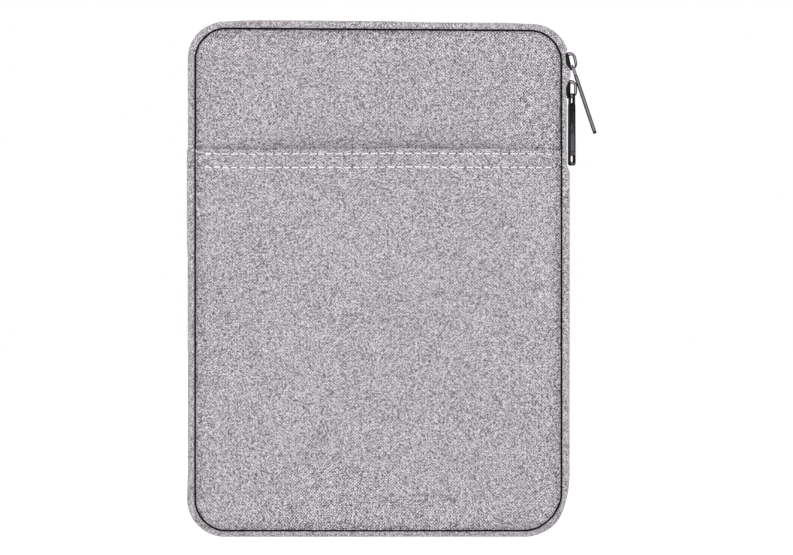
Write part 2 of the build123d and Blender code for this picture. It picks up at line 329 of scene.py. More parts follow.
def tube(name, points, radius, material, closed=False, sides=8, squeeze=1.0):
    """A round cord through these points."""
    points = np.asarray(points, float)
    ahead = np.roll(points, -1, 0) - np.roll(points, 1, 0)
    if not closed:
        ahead[0], ahead[-1] = points[1] - points[0], points[-1] - points[-2]
    ahead /= np.linalg.norm(ahead, axis=1)[:, None]
    across = np.cross(ahead, np.array([0, 1.0, 0]))
    weak = np.linalg.norm(across, axis=1) < 1e-4
    across[weak] = np.cross(ahead[weak], np.array([1.0, 0, 0]))
    across /= np.linalg.norm(across, axis=1)[:, None]
    up = np.cross(across, ahead)
    angles = np.arange(sides) / sides * math.tau
    ring = np.cos(angles)[None, :, None] * across[:, None]
    ring = ring + squeeze * np.sin(angles)[None, :, None] * up[:, None]
    verts = (points[:, None] + radius * ring).reshape(-1, 3)
    uvs = np.stack([np.repeat(distances(points), sides), np.tile(angles * radius, len(points))], -1)
    faces = quads(len(points), sides, wrap=True)
    last = (len(points) - 1) * sides
    if closed:
        faces += [(last + c, last + (c + 1) % sides, (c + 1) % sides, c) for c in range(sides)]
    else:
        faces += [tuple(range(sides))[::-1], tuple(range(last, last + sides))]
    return make_mesh(name, verts, faces, uvs, material)


def join(name, objs):
    select(*objs)
    bpy.ops.object.join()
    objs[0].name = name
    objs[0].data.name = name
    return objs[0]


# ---- materials -------------------------------------------------------------------------------------
class Shader:
    """A short way to write a node material: each method adds a node and returns its output."""

    def __init__(self, name, **principled):
        self.material = bpy.data.materials.new(name)
        self.material.use_nodes = True
        self.tree = self.material.node_tree
        self.bsdf = self.tree.nodes["Principled BSDF"]
        for key, value in principled.items():
            self.bsdf.inputs[key.replace("_", " ")].default_value = value

    def put(self, node, socket, value):
        if isinstance(value, bpy.types.NodeSocket):
            self.tree.links.new(value, node.inputs[socket])
        elif value is not None:
            node.inputs[socket].default_value = value

    def math(self, operation, a, b=None, clamp=False):
        node = self.tree.nodes.new("ShaderNodeMath")
        node.operation = operation
        node.use_clamp = clamp
        self.put(node, 0, a)
        self.put(node, 1, b)
        return node.outputs[0]

    def add(self, a, b, clamp=False):
        return self.math("ADD", a, b, clamp)

    def less(self, a, b):
        return self.math("SUBTRACT", a, b)

    def times(self, a, b):
        return self.math("MULTIPLY", a, b)

    def centred(self, value, amount):
        """Turns a value from 0 to 1 into one that swings this much about zero."""
        return self.times(self.less(value, 0.5), amount)

    def uv(self):
        node = self.tree.nodes.new("ShaderNodeUVMap")
        node.uv_map = "UVMap"
        split = self.tree.nodes.new("ShaderNodeSeparateXYZ")
        self.tree.links.new(node.outputs[0], split.inputs[0])
        return split.outputs[0], split.outputs[1]

    def place(self):
        node = self.tree.nodes.new("ShaderNodeTexCoord")
        return node.outputs["Object"]

    def vector(self, x, y=0.0, z=0.0):
        node = self.tree.nodes.new("ShaderNodeCombineXYZ")
        for i, value in enumerate((x, y, z)):
            self.put(node, i, value)
        return node.outputs[0]

    def noise(self, vector, scale, detail=2.0, roughness=0.5):
        node = self.tree.nodes.new("ShaderNodeTexNoise")
        self.put(node, "Vector", vector)
        for socket, value in (("Scale", scale), ("Detail", detail), ("Roughness", roughness)):
            node.inputs[socket].default_value = value
        return node.outputs[0]

    def white(self, vector):
        node = self.tree.nodes.new("ShaderNodeTexWhiteNoise")
        node.noise_dimensions = "3D"
        self.put(node, "Vector", vector)
        return node.outputs[0]

    def mix(self, share, a, b):
        node = self.tree.nodes.new("ShaderNodeMix")
        node.data_type = "FLOAT"
        self.put(node, 0, share)
        self.put(node, 2, a)
        self.put(node, 3, b)
        return node.outputs[0]

    def remap(self, value, low, high, to_low, to_high):
        node = self.tree.nodes.new("ShaderNodeMapRange")
        self.put(node, 0, value)
        for i, limit in enumerate((low, high, to_low, to_high)):
            self.put(node, i + 1, limit)
        return node.outputs[0]

    def ramp(self, value, stops):
        node = self.tree.nodes.new("ShaderNodeValToRGB")
        self.put(node, 0, value)
        elements = node.color_ramp.elements
        while len(elements) < len(stops):
            elements.new(0.5)
        for element, (position, colour) in zip(elements, stops):
            element.position = position
            element.color = (*colour, 1)
        return node.outputs[0]

    def bump(self, height, distance, strength=1.0):
        node = self.tree.nodes.new("ShaderNodeBump")
        node.inputs["Strength"].default_value = strength
        node.inputs["Distance"].default_value = distance
        self.put(node, "Height", height)
        self.tree.links.new(node.outputs[0], self.bsdf.inputs["Normal"])

    def colour(self, output):
        self.tree.links.new(output, self.bsdf.inputs["Base Color"])

    def roughness(self, output):
        self.tree.links.new(output, self.bsdf.inputs["Roughness"])


def weave_cells(shader, pitch):
    """Yarn numbers, places within a yarn, and which yarn is on top, for a plain weave."""
    u, v = shader.uv()
    across, up = shader.math("DIVIDE", u, pitch), shader.math("DIVIDE", v, pitch)
    wobble = shader.centred(shader.noise(shader.vector(across, up), 0.35, 1.0), 0.5)
    across, up = shader.add(across, wobble), shader.add(up, wobble)
    column, row = shader.math("FLOOR", across), shader.math("FLOOR", up)
    warp_top = shader.math("FLOORED_MODULO", shader.add(column, row), 2.0)
    in_column = shader.less(shader.math("FRACT", across), 0.5)
    in_row = shader.less(shader.math("FRACT", up), 0.5)
    return across, up, column, row, warp_top, in_column, in_row


def yarn_height(shader, warp_top, in_column, in_row):
    round_column = shader.math("COSINE", shader.times(in_column, math.pi))
    round_row = shader.math("COSINE", shader.times(in_row, math.pi))
    column_dive = shader.add(shader.times(round_row, 0.5), 0.5)
    row_dive = shader.add(shader.times(round_column, 0.5), 0.5)
    warp = shader.times(round_column, column_dive)
    weft = shader.times(round_row, row_dive)
    return shader.mix(warp_top, weft, warp)


def painted_seam_shade_mask(shader):
    """Mask of painted shade: 1 at the seam round a face, falling to 0 a little way inside it; UV is the place
    on the face.
    """
    u, v = shader.uv()
    across = shader.less(shader.math("ABSOLUTE", u), WIDTH / 2)
    from_middle = shader.less(v, HEIGHT / 2)
    up = shader.less(shader.math("ABSOLUTE", from_middle), HEIGHT / 2)
    reach = shader.math("MAXIMUM", across, up)
    rise = shader.remap(reach, -PANEL_INSET - 8 * MM, -PANEL_INSET, 0.0, 1.0)
    fall = shader.remap(reach, -PANEL_INSET, -PANEL_INSET + 1 * MM, 1.0, 0.0)
    return shader.times(shader.times(rise, rise), fall)


def melange(name, middle, pitch=0.79 * MM, painted_seam_shade=0.0):
    """Mottled plain weave of uneven yarns and flecked fibres, with painted shade in the gaps between yarns,
    and painted shade beside the seam when asked.
    """
    shader = Shader(name, Roughness=0.92, Sheen_Weight=0.1, Sheen_Roughness=0.45, Specular_IOR_Level=0.2)
    across, up, column, row, warp_top, in_column, in_row = weave_cells(shader, pitch)
    warp_place = shader.vector(shader.times(column, 7.31), shader.times(up, 0.9))
    weft_place = shader.vector(shader.times(across, 0.9), shader.times(row, 5.77), 9.0)
    warp = shader.noise(warp_place, 1.0, 1.0, 0.6)
    weft = shader.noise(weft_place, 1.0, 1.0, 0.6)
    slub = shader.centred(shader.mix(warp_top, weft, warp), 0.18)
    fibres = [shader.math("FLOOR", shader.times(place, 2.0)) for place in (across, up)]
    fleck = shader.centred(shader.white(shader.vector(*fibres, 3.0)), 1.3)
    streak_place = shader.vector(shader.times(fibres[0], 3.7), shader.times(up, 0.10))
    slub = shader.add(slub, shader.centred(shader.noise(streak_place, 1.0, 1.0), 0.28))
    tone = shader.add(shader.add(slub, 0.5), fleck)
    tone = shader.add(tone, shader.centred(warp_top, 0.42))
    tone = shader.add(tone, shader.centred(shader.noise(shader.place(), 38.0, 2.0), 0.06))
    height = yarn_height(shader, warp_top, in_column, in_row)
    # painted shade in the gaps between yarns, where they dip
    painted_gap_shade = shader.remap(height, 0.0, 0.6, -0.34, 0.06)
    # painted shade: the face darkened beside the seam, where the padded face rolls down into the groove
    if painted_seam_shade:
        tone = shader.less(tone, shader.times(painted_seam_shade_mask(shader), painted_seam_shade))
    tone = shader.add(tone, painted_gap_shade, clamp=True)
    dark = tuple(0.12 * c for c in middle)
    light = tuple(min(1.0, 2.4 * c) for c in middle)
    shader.colour(shader.ramp(tone, [(0.0, dark), (0.46, middle), (1.0, light)]))
    shader.bump(height, 0.14 * MM, 0.7)
    return shader.material


def woven_tape(name, colour, pitch=0.5 * MM):
    """Fine plain weave in one colour, a little uneven from yarn to yarn, with painted shade where the yarns
    dip.
    """
    shader = Shader(name, Roughness=0.88, Sheen_Weight=0.1, Specular_IOR_Level=0.3)
    across, up, column, row, warp_top, in_column, in_row = weave_cells(shader, pitch)
    height = yarn_height(shader, warp_top, in_column, in_row)
    tone = shader.white(shader.vector(column, row))
    # yarn tops lighter and dips darker: painted shade between yarns
    tone = shader.add(shader.times(tone, 0.35), shader.times(height, 0.6))
    dark = tuple(0.62 * c for c in colour)
    light = tuple(min(1.0, 1.25 * c) for c in colour)
    shader.colour(shader.ramp(tone, [(0.1, dark), (0.9, light)]))
    shader.bump(height, 0.12 * MM, 0.7)
    return shader.material


def thread(name, dark, light, shine=0.4):
    """Twisted thread: slanting light and dark strands."""
    shader = Shader(name, Roughness=0.75, Sheen_Weight=shine / 4, Specular_IOR_Level=shine)
    u, v = shader.uv()
    slant = shader.add(shader.math("DIVIDE", u, 0.9 * MM), shader.math("DIVIDE", v, 1.3 * MM))
    wave = shader.math("SINE", shader.times(slant, math.tau))
    shader.colour(shader.ramp(shader.remap(wave, -1.0, 1.0, 0.0, 1.0), [(0.1, dark), (0.7, light)]))
    shader.bump(wave, 0.08 * MM, 0.7)
    return shader.material


def plush(name):
    """Short brushed pile with soft brushed patches."""
    shader = Shader(name, Roughness=1.0, Sheen_Weight=0.45, Sheen_Roughness=0.4, Specular_IOR_Level=0.1)
    place = shader.place()
    pile = shader.noise(place, 2600.0, 3.0, 0.7)
    brushed = shader.noise(place, 45.0, 3.0, 0.6)
    tone = shader.add(shader.times(pile, 0.6), shader.times(brushed, 0.5))
    shader.colour(shader.ramp(tone, [(0.35, (0.055, 0.055, 0.06)), (0.8, (0.17, 0.17, 0.18))]))
    shader.bump(pile, 0.5 * MM, 0.6)
    return shader.material


def foam(name):
    """Open foam: small lighter and darker cells."""
    shader = Shader(name, Roughness=0.95, Specular_IOR_Level=0.2)
    cells = shader.noise(shader.place(), 1800.0, 2.0, 0.7)
    shader.colour(shader.ramp(cells, [(0.3, (0.17, 0.17, 0.18)), (0.7, (0.32, 0.32, 0.33))]))
    shader.bump(cells, 0.2 * MM, 0.5)
    return shader.material


def coil_plastic(name):
    """Smooth nylon thread, slightly uneven in tone."""
    shader = Shader(name, Roughness=0.38, Specular_IOR_Level=0.5)
    streak = shader.noise(shader.place(), 700.0, 2.0)
    shader.colour(shader.ramp(streak, [(0.3, (0.20, 0.19, 0.21)), (0.7, (0.34, 0.33, 0.36))]))
    return shader.material


def gunmetal(name, dark, light, rough=0.28, coat=0.35, metallic=1.0):
    """Dark plated metal, with fine scuffs, and its corners painted brighter as wear and as painted highlight.
    """
    shader = Shader(name, Metallic=metallic, Specular_IOR_Level=0.5 * metallic + 0.15, Coat_Weight=coat,
                    Coat_Roughness=0.12)
    place = shader.place()
    scuff = shader.noise(place, 900.0, 4.0, 0.65)
    cloud = shader.noise(place, 120.0, 2.0)
    geometry = shader.tree.nodes.new("ShaderNodeNewGeometry")
    # corners painted brighter: partly wear, partly painted highlight
    corner_wear_and_highlight = shader.remap(geometry.outputs["Pointiness"], 0.50, 0.58, 0.0, 0.5)
    tone = shader.add(shader.times(cloud, 0.6), corner_wear_and_highlight, clamp=True)
    shader.colour(shader.ramp(tone, [(0.2, dark), (0.9, light)]))
    shader.roughness(shader.remap(scuff, 0.3, 0.7, rough - 0.08, rough + 0.14))
    shader.bump(scuff, 0.02 * MM, 0.4)
    return shader.material


MELANGE = melange("melange_canvas", (0.325, 0.3075, 0.325), painted_seam_shade=0.2)
BORDER_CLOTH = melange("melange_border", (0.330, 0.311, 0.333))
PLUSH = plush("plush_lining")
FOAM = foam("foam_sheet")
TAPE = woven_tape("zip_tape", (0.36, 0.35, 0.37))
BINDING_TAPE = woven_tape("binding_tape", (0.10, 0.10, 0.11), 0.7 * MM)
# near black: a real dark thread, darkened further as painted shade of the groove
SEAM_THREAD_AND_SHADE = thread("seam_thread", (0.001, 0.0005, 0.0015), (0.006, 0.004, 0.008), shine=0.1)
WHITE_THREAD = thread("white_thread", (0.80, 0.79, 0.81), (0.98, 0.98, 0.98))
# near-black discs at the needle holes: painted shade
NEEDLE_HOLE_SHADE = thread("needle_hole_painted_shade", (0.004, 0.003, 0.005), (0.015, 0.012, 0.018), shine=0.1)
COIL = coil_plastic("zip_coil")
# One metal in lit and shaded copies: the lighter copy is painted highlight, the darker copy painted shade,
# and the near-black edge copy painted shade on bevels, feet and slider bodies.
GUNMETAL = gunmetal("gunmetal", (0.16, 0.155, 0.165), (0.34, 0.33, 0.35))
METAL_HIGHLIGHT = gunmetal("gunmetal_painted_highlight", (0.36, 0.35, 0.37), (0.60, 0.59, 0.61))
METAL_SHADED = gunmetal("gunmetal_painted_shade", (0.045, 0.043, 0.047), (0.13, 0.125, 0.135))
METAL_EDGE_SHADE = gunmetal("gunmetal_painted_edge_shade", (0.002, 0.002, 0.003), (0.010, 0.009, 0.011), 0.35, 0.0, 0.0)


# ---- front and back halves --------------------------------------------------------------------------
def crowned(x, z, side, seed):
    """Depth of a padded face: it rolls down into the seam and is never quite flat."""
    inside = depth_inside(x, z) - PANEL_INSET
    roll = 0.85 * MM * np.exp(-np.maximum(inside, 0) / (1.5 * MM))
    swell = 0.35 * MM * smooth(0, 45 * MM, inside) - 0.18 * MM
    wave = 0.16 * MM * soft_noise(x, z, 70 * MM, seed) * smooth(0, 12 * MM, inside)
    return side * (FACE - roll + swell + wave)


def fold_with_front(obj, slot, *nodes):
    """A sheet of the front: its placement goes into its mesh, then it is finished and its CAD parts are
    hidden.
    """
    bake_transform(obj)
    return finish_piece(obj, slot, *nodes)


def lay_seam(obj):
    """The seam runs nearer to the edge along the top and along the bottom than at the sides."""
    verts = obj.data.vertices
    at = np.empty(3 * len(verts))
    verts.foreach_get("co", at)
    x, y, z = at.reshape(-1, 3).T
    inside = depth_inside(x, z)
    share = smooth(1.0 * MM, 3.6 * MM, inside) * smooth(18 * MM, 5.5 * MM, inside) * (np.abs(y) > 8.5 * MM)
    along = smooth(-98 * MM, -80 * MM, x) * smooth(96 * MM, 78 * MM, x)
    z += share * along * np.where(z > HEIGHT / 2, 0.9 * MM, -1.0 * MM) * (np.abs(z - HEIGHT / 2) > HEIGHT / 4)
    verts.foreach_set("co", np.stack([x, y, z], -1).ravel())
    obj.data.update()


def finish_piece(obj, slot, *nodes):
    if slot in ("melange", "seam_thread"):
        lay_seam(obj)
    if nodes:
        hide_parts(*nodes)
    return obj


# (inset, depth) in millimetres, from the seam over the rounded edge to the strip under the zip
BORDER_SECTION = [(4.15, 10.05), (4.1, 10.25), (3.9, 10.6), (3.5, 10.86), (3.0, 10.97), (2.4, 11.0),
                  (1.8, 10.9), (1.2, 10.6), (0.7, 10.15), (0.35, 9.55), (0.12, 8.8), (0.02, 8.0), (0.0, 7.2),
                  (0.1, 6.6), (0.45, 6.25), (1.2, 6.15)]


def squeeze(places):
    """How far the border gives way: at the top, by the sliders and pull, on the left, at the right foot."""
    x, z = places[:, 0] / MM, places[:, 1] / MM
    upper = 2.0 * smooth(246.5, 250.0, z) * smooth(257.2, 254.8, z)
    lower = 1.5 * smooth(242.6, 237.6, z) * smooth(193.5, 196.5, z) + 0.45 * hump(z, 234.5, 4.0, 4)
    swell = -0.6 * smooth(241.5, 244.0, z) * smooth(249.0, 245.5, z)
    foot = 1.35 * hump(z, 18.5, 7.0, 2)
    left = 0.4 * smooth(MOUTH_Z / MM - 0.5, MOUTH_Z / MM + 1.5, z) * smooth(266, 250, z)
    left = left + 0.45 * smooth(156, 148, z) * smooth(20, 34, z)
    rise = -smooth(-92, -62, x) * (1 - 0.45 * smooth(0, 30, x)) * smooth(84, 64, x)
    sides = np.where(x > 0, upper + lower + swell + foot, left)
    return np.where((np.abs(x) < 88) & (z > 250), rise, sides) * MM


def front_border_shape(places, insets, depths):
    """Thinner under the pocket fabric, and squeezed in places."""
    under = 1 - smooth(MOUTH_Z - 1.5 * MM, MOUTH_Z + 1.0 * MM, places[:, 1])
    outer = smooth(3.2 * MM, 0.5 * MM, insets)
    wave = 0.10 * MM * soft_noise(places[:, 0], places[:, 1], 40 * MM, 5)
    given = squeeze(places)
    new_insets = insets + outer * (0.42 * MM * under + wave * (1 - under) + given)
    return new_insets, depths - 0.45 * MM * under


def back_border_shape(places, insets, depths):
    outer = smooth(3.2 * MM, 0.5 * MM, insets)
    along_pull = (places[:, 0] > 0) & (places[:, 1] < 238 * MM) & (places[:, 1] > 190 * MM)
    return insets + outer * (0.05 * MM + squeeze(places) * np.where(along_pull, 0.9, 1)), depths


def sew_on(obj, half, slot, node):
    """A layer of one half: the front's is split at the fold in CAD and both parts are hidden, the back's is
    whole and goes on the case body.
    """
    if half == "front":
        fold_with_front(obj, slot, "front_" + node + "_lower", "front_" + node + "_upper")
    else:
        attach(finish_piece(obj, slot, "back_" + node), "case_body")


def halves():
    """The two cover panels and the border strip round each of them."""
    x, z = panel_grid(PANEL_INSET)
    for side, half in SIDES:
        seed = 3 if side < 0 else 4
        cover = grid_sheet(half + "_cover", side, x, z, crowned(x, z, side, seed), MELANGE, 0.5 * MM)
        sew_on(cover, half, "melange", "cover_panel")
    route = rounded_route(*outline(), closed=True, step=2 * MM)
    profile = in_mm(BORDER_SECTION)
    for side, half in SIDES:
        shape = front_border_shape if side < 0 else back_border_shape
        border = loft(half + "_border", *route, profile, side, BORDER_CLOTH, True, 0.35 * MM, shape)
        sew_on(border, half, "melange", "edge_band")


def seam_cords():
    """The dark cord in each face's groove, near black as real dark thread and as painted shade of the groove;
    on the front it lies over the pocket's fabric.
    """
    places, normals = rounded_route(*outline(), closed=True, step=2.5 * MM, arc_steps=24)
    at = places - normals * SEAM_INSET
    under = 1 - smooth(MOUTH_Z - 1.0 * MM, MOUTH_Z + 1.0 * MM, places[:, 1])
    for side, half in SIDES:
        over_pocket = 0.62 * MM * under * (side < 0)
        points = np.stack([at[:, 0], side * (SEAM_DEPTH + over_pocket), at[:, 1]], -1)
        cord = tube(half + "_seam_cord", points, SEAM_RADIUS, SEAM_THREAD_AND_SHADE, closed=True)
        sew_on(cord, half, "seam_thread", "seam_cord")


def padding_and_lining():
    """Foam behind each cover, and the plush that faces the tablet."""
    for side, half in SIDES:
        x, z = panel_grid(PADDING_INSET)
        inside = depth_inside(x, z)
        roll = 1.9 * MM * np.exp(-np.maximum(inside - PADDING_INSET, 0) / (1.6 * MM))
        face = side * (PADDING[1].y - 0.25 * MM - roll)
        given = squeeze(np.stack([x, z], -1).reshape(-1, 2)).reshape(x.shape) * (np.abs(x) > 88 * MM)
        x = x - np.sign(x) * given * smooth(7 * MM, PADDING_INSET, inside)
        pad = grid_sheet(half + "_padding_sheet", side, x, z, face, FOAM, 3.1 * MM)
        x, z = panel_grid(LINING_INSET)
        inside = depth_inside(x, z) - LINING_INSET
        wave = 0.12 * MM * soft_noise(x, z, 60 * MM, 11 + side)
        roll = 0.5 * MM * np.exp(-np.maximum(inside, 0) / (2.5 * MM))
        outer = np.full_like(x, side * (LINING[1].y - 0.1 * MM))
        lining = grid_sheet(half + "_lining_sheet", side, x, z, outer, PLUSH, 0.9 * MM)
        shape_inner_face(lining, side, wave + roll)
        sew_on(pad, half, "foam", "padding")
        sew_on(lining, half, "plush", "lining")


def shape_inner_face(obj, side, relief):
    """Lets the side of a sheet that faces the bay rise and fall."""
    verts = obj.data.vertices
    half = len(verts) // 2
    for k, rise in enumerate(relief.ravel()):
        verts[half + k].co.y += side * rise


def bindings():
    """Ribbed tape folded over the raw edges inside each half."""
    places, normals = rounded_route(*outline(), closed=True)
    low, high = BINDING[0].y, BINDING[1].y
    near, far = 3.9 * MM, 6.3 * MM
    section = [(near, high), (near, low + 0.25 * MM), (near + 0.3 * MM, low), (far - 0.4 * MM, low),
               (far, low + 0.3 * MM), (far, high)]
    for side, half in SIDES:
        strip = loft(half + "_binding", places, normals, section, side, BINDING_TAPE, True)
        apply_modifier(strip, "SUBSURF", levels=1)
        sew_on(strip, half, "binding", "inner_binding")


# ---- pocket ------------------------------------------------------------------------------------------
HEM_T = 1.15 * MM
HEM_DROPS = (1.5, 4, 7, 10.6)     # millimetres below the mouth, behind the panel
# (inset, depth) in millimetres, from the panel through the seam and over the border
WRAP_SECTION = [(4.45, 10.72), (4.2, 10.70), (4.05, 10.85), (3.8, 11.12), (3.4, 11.30), (2.8, 11.38),
                (2.2, 11.3), (1.6, 11.1), (1.0, 10.7), (0.5, 10.15), (0.15, 9.4), (-0.05, 8.6), (-0.1, 7.6),
                (-0.02, 6.8), (0.3, 6.35), (1.0, 6.2)]


def pocket_gap(x, z):
    """How far the pocket stands off the front: most in the middle of its mouth."""
    rise = (z + POCKET_FOOT_DEPTH) / (MOUTH_Z + POCKET_FOOT_DEPTH)
    return POCKET_SLACK * rise * np.maximum(1 - (x / POCKET_REACH) ** 2, 0)


def pocket_depth(x, z):
    """Outer face of the pocket panel."""
    inside = depth_inside(x, z) - PANEL_INSET
    roll = 0.75 * MM * np.exp(-np.maximum(inside, 0) / (1.3 * MM))
    wave = 0.14 * MM * soft_noise(x, z, 55 * MM, 21) * smooth(0, 15 * MM, inside)
    stitched = 0
    for drop in STITCH_DROPS.values():
        stitched = stitched + 0.13 * MM * hump(z, MOUTH_Z - drop, 0.8 * MM, 2)
    return FACE + 0.72 * MM + pocket_gap(x, z) - roll + wave - stitched


def mouth_wave(x):
    """The mouth's edge isn't quite straight."""
    return 0.22 * MM * np.sin(x / (21 * MM) + 0.7) + 0.14 * MM * np.sin(x / (9 * MM))


def outward(at):
    """Unit directions that lead out of the case's face at these places."""
    step = 0.05 * MM
    across = depth_inside(at[:, 0] + step, at[:, 1]) - depth_inside(at[:, 0] - step, at[:, 1])
    up = depth_inside(at[:, 0], at[:, 1] + step) - depth_inside(at[:, 0], at[:, 1] - step)
    slope = np.stack([across, up], -1)
    return -slope / np.linalg.norm(slope, axis=1)[:, None]


def pocket_hem(x, y, z, verts, uvs, faces):
    """The hem turns over the mouth and runs down behind the panel."""
    rows, cols = x.shape
    turn = [(HEM_T / 2 * (1 - math.cos(a)), HEM_T / 2 * math.sin(a)) for a in np.linspace(0, math.pi, 7)[1:]]
    turn += [(HEM_T, -drop * MM) for drop in HEM_DROPS]
    room = smooth(0, 9 * MM, depth_inside(x[-1], z[-1]) - PANEL_INSET)
    previous = (rows - 1) * cols
    for k, (back, up) in enumerate(turn):
        depth = back * np.maximum(room, 0.25)
        verts.append(np.stack([x[-1], y[-1] + depth, z[-1] - 0.55 * MM + up], -1))
        uvs.append(np.stack([x[-1], np.full(cols, MOUTH_Z + back + abs(up))], -1))
        current = (rows + k) * cols
        faces += [(previous + c, previous + c + 1, current + c + 1, current + c) for c in range(cols - 1)]
        previous = current


def pocket_wrap(x, z, verts, uvs, faces):
    """Round its other three sides the fabric dips into the seam and turns over the border."""
    rows, cols = x.shape
    edge = [(r, 0) for r in range(rows - 1, 0, -1)] + [(0, c) for c in range(cols)]
    edge += [(r, cols - 1) for r in range(1, rows)]
    at = np.array([[x[r, c], z[r, c]] for r, c in edge])
    out = outward(at)
    ring = [r * cols + c for r, c in edge]
    first, count = sum(len(v) for v in verts), len(edge)
    near_mouth = smooth(MOUTH_Z - 3 * MM, MOUTH_Z, at[:, 1])
    reaches = distances([(PANEL_INSET / MM, FACE / MM)] + WRAP_SECTION)[1:] * MM
    for k, (inset, depth) in enumerate(WRAP_SECTION):
        given = squeeze(at) * smooth(3.2, 0.5, inset)
        moved = at + out * (PANEL_INSET - inset * MM - given)[:, None]
        moved[:, 1] -= 0.7 * MM * near_mouth * smooth(0, 1, (PANEL_INSET / MM - inset) / 1.5)
        verts.append(np.stack([moved[:, 0], np.full(count, -depth * MM), moved[:, 1]], -1))
        uvs.append(at + out * reaches[k])
        new_ring = range(first + k * count, first + (k + 1) * count)
        faces += [(ring[j], ring[j + 1], new_ring[j + 1], new_ring[j])[::-1] for j in range(count - 1)]
        ring = new_ring


def pocket():
    x, z = panel_grid(PANEL_INSET, MOUTH_Z)
    raised = z + mouth_wave(x) * smooth(MOUTH_Z - 14 * MM, MOUTH_Z, z)
    y = -pocket_depth(x, z)
    verts = [np.stack([x, y, raised], -1).reshape(-1, 3)]
    uvs = [np.stack([x, z], -1).reshape(-1, 2)]
    faces = quads(*x.shape)
    pocket_hem(x, y, raised, verts, uvs, faces)
    pocket_wrap(x, raised, verts, uvs, faces)
    panel = make_mesh("pocket_front", np.concatenate(verts), faces, np.concatenate(uvs), MELANGE)
    apply_modifier(panel, "SOLIDIFY", thickness=0.42 * MM, offset=-1)
    fold_with_front(panel, "melange", "pocket_panel_lower", "pocket_panel_upper", "pocket_edge_wrap_lower",
                    "pocket_edge_wrap_upper", "pocket_hem")


def stitches():
    """Thread lies along each stitch and dives into the fabric at both ends, at a needle hole drawn as a
    squashed near-black disc: painted shade.
    """
    for row, drop in STITCH_DROPS.items():
        z = MOUTH_Z - drop
        count = int((WIDTH - 2 * PANEL_INSET - 8 * MM) / STITCH_PITCH)
        made, holes = [], []
        for i in range(count):
            middle = (i - (count - 1) / 2) * STITCH_PITCH + random.uniform(-0.25, 0.25) * MM
            length = STITCH_L * random.uniform(0.80, 1.0)
            tilt = random.uniform(-0.22, 0.22) * MM
            share = np.linspace(-1, 1, 9)
            x = middle + share * length / 2
            wave = 0.6 * float(mouth_wave(np.array(middle)))
            height = z + tilt * share + wave + random.uniform(-0.1, 0.1) * MM
            y = -(pocket_depth(x, np.full_like(x, z)) + 0.30 * MM * (1 - share**6) - 0.10 * MM)
            radius = random.uniform(0.23, 0.29) * MM
            made.append(tube("stitch", np.stack([x, y, height], -1), radius, WHITE_THREAD, sides=6))
            edge = x[-1] + (STITCH_PITCH - length) / 2
            # a squashed near-black disc at each needle hole: painted shade
            sunk = -(pocket_depth(edge, z) + 0.12 * MM)
            dip = [(edge - 0.3 * MM, sunk, height[-1]), (edge + 0.3 * MM, sunk, height[-1])]
            hole_radius = random.uniform(0.22, 0.46) * MM
            holes.append(tube("hole", dip, hole_radius, NEEDLE_HOLE_SHADE, sides=6, squeeze=0.5))
        strip = join("hem_stitch_row_" + row, made + holes)
        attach(finish_piece(strip, "white_thread", "hem_stitches_" + row), "front_flap")


# ---- strip at the sides and bottom, and the zip -------------------------------------------------------
def gusset():
    """The strip of fabric between the two halves at the sides and the bottom, and its lining."""
    side_x = WIDTH / 2 - SIDE_RECESS
    points, radii = [(side_x, FOLD_Z)], []
    for side, foot_r in ((1, RIGHT_FOOT_R), (-1, CORNER_R)):
        radius = foot_r - SIDE_RECESS
        rise = foot_r - radius * math.cos(STRIP_SLANT)
        floor_x = WIDTH / 2 - foot_r + radius * math.sin(STRIP_SLANT) - rise / math.tan(STRIP_SLANT)
        raised, flat = (side * side_x, (side_x - floor_x) * math.tan(STRIP_SLANT)), (side * floor_x, 0)
        points += [raised, flat][::side]
        radii += [radius, 8 * MM][::side]
    points += [(-side_x, FOLD_Z)]
    places, normals = rounded_route(points, radii, closed=False)

    def strip(name, inset, thickness, material, half_width):
        section = [(inset + 0.25 * MM * abs(s) ** 3, s * half_width) for s in np.linspace(1, -1, 13)]
        return loft(name, places, normals, section, 1, material, False, thickness)

    outer = strip("bottom_strip", 0.12 * MM, 0.9 * MM, BORDER_CLOTH, 6.05 * MM)
    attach(finish_piece(outer, "melange", "bottom_gusset"), "case_body")
    inner = strip("bottom_strip_lining", 1.35 * MM, 0.8 * MM, PLUSH, 4.9 * MM)
    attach(finish_piece(inner, "plush", "gusset_lining"), "case_body")


def zip_frame(route, along):
    """Place and outward normal at this distance along a sampled route."""
    places, normals = route
    lengths = distances(places)
    at = np.stack([np.interp(along, lengths, places[:, k]) for k in (0, 1)], -1)
    out = np.stack([np.interp(along, lengths, normals[:, k]) for k in (0, 1)], -1)
    return at, out / np.linalg.norm(out, axis=1)[:, None]


def parted(at):
    """How far the two coils stand apart: they are open between the sliders."""
    right = at[:, 0] > WIDTH * 0.4
    return np.where(right, 1.5 * MM * hump(at[:, 1], ZIP_OPEN_Z, 3.4 * MM, 4), 0)


def part_tape(places, insets, depths):
    """The tape's inner edge follows the coils; its sewn edge stays."""
    return insets, depths + parted(places) * (1 - (depths - 1 * MM) / (5.2 * MM))


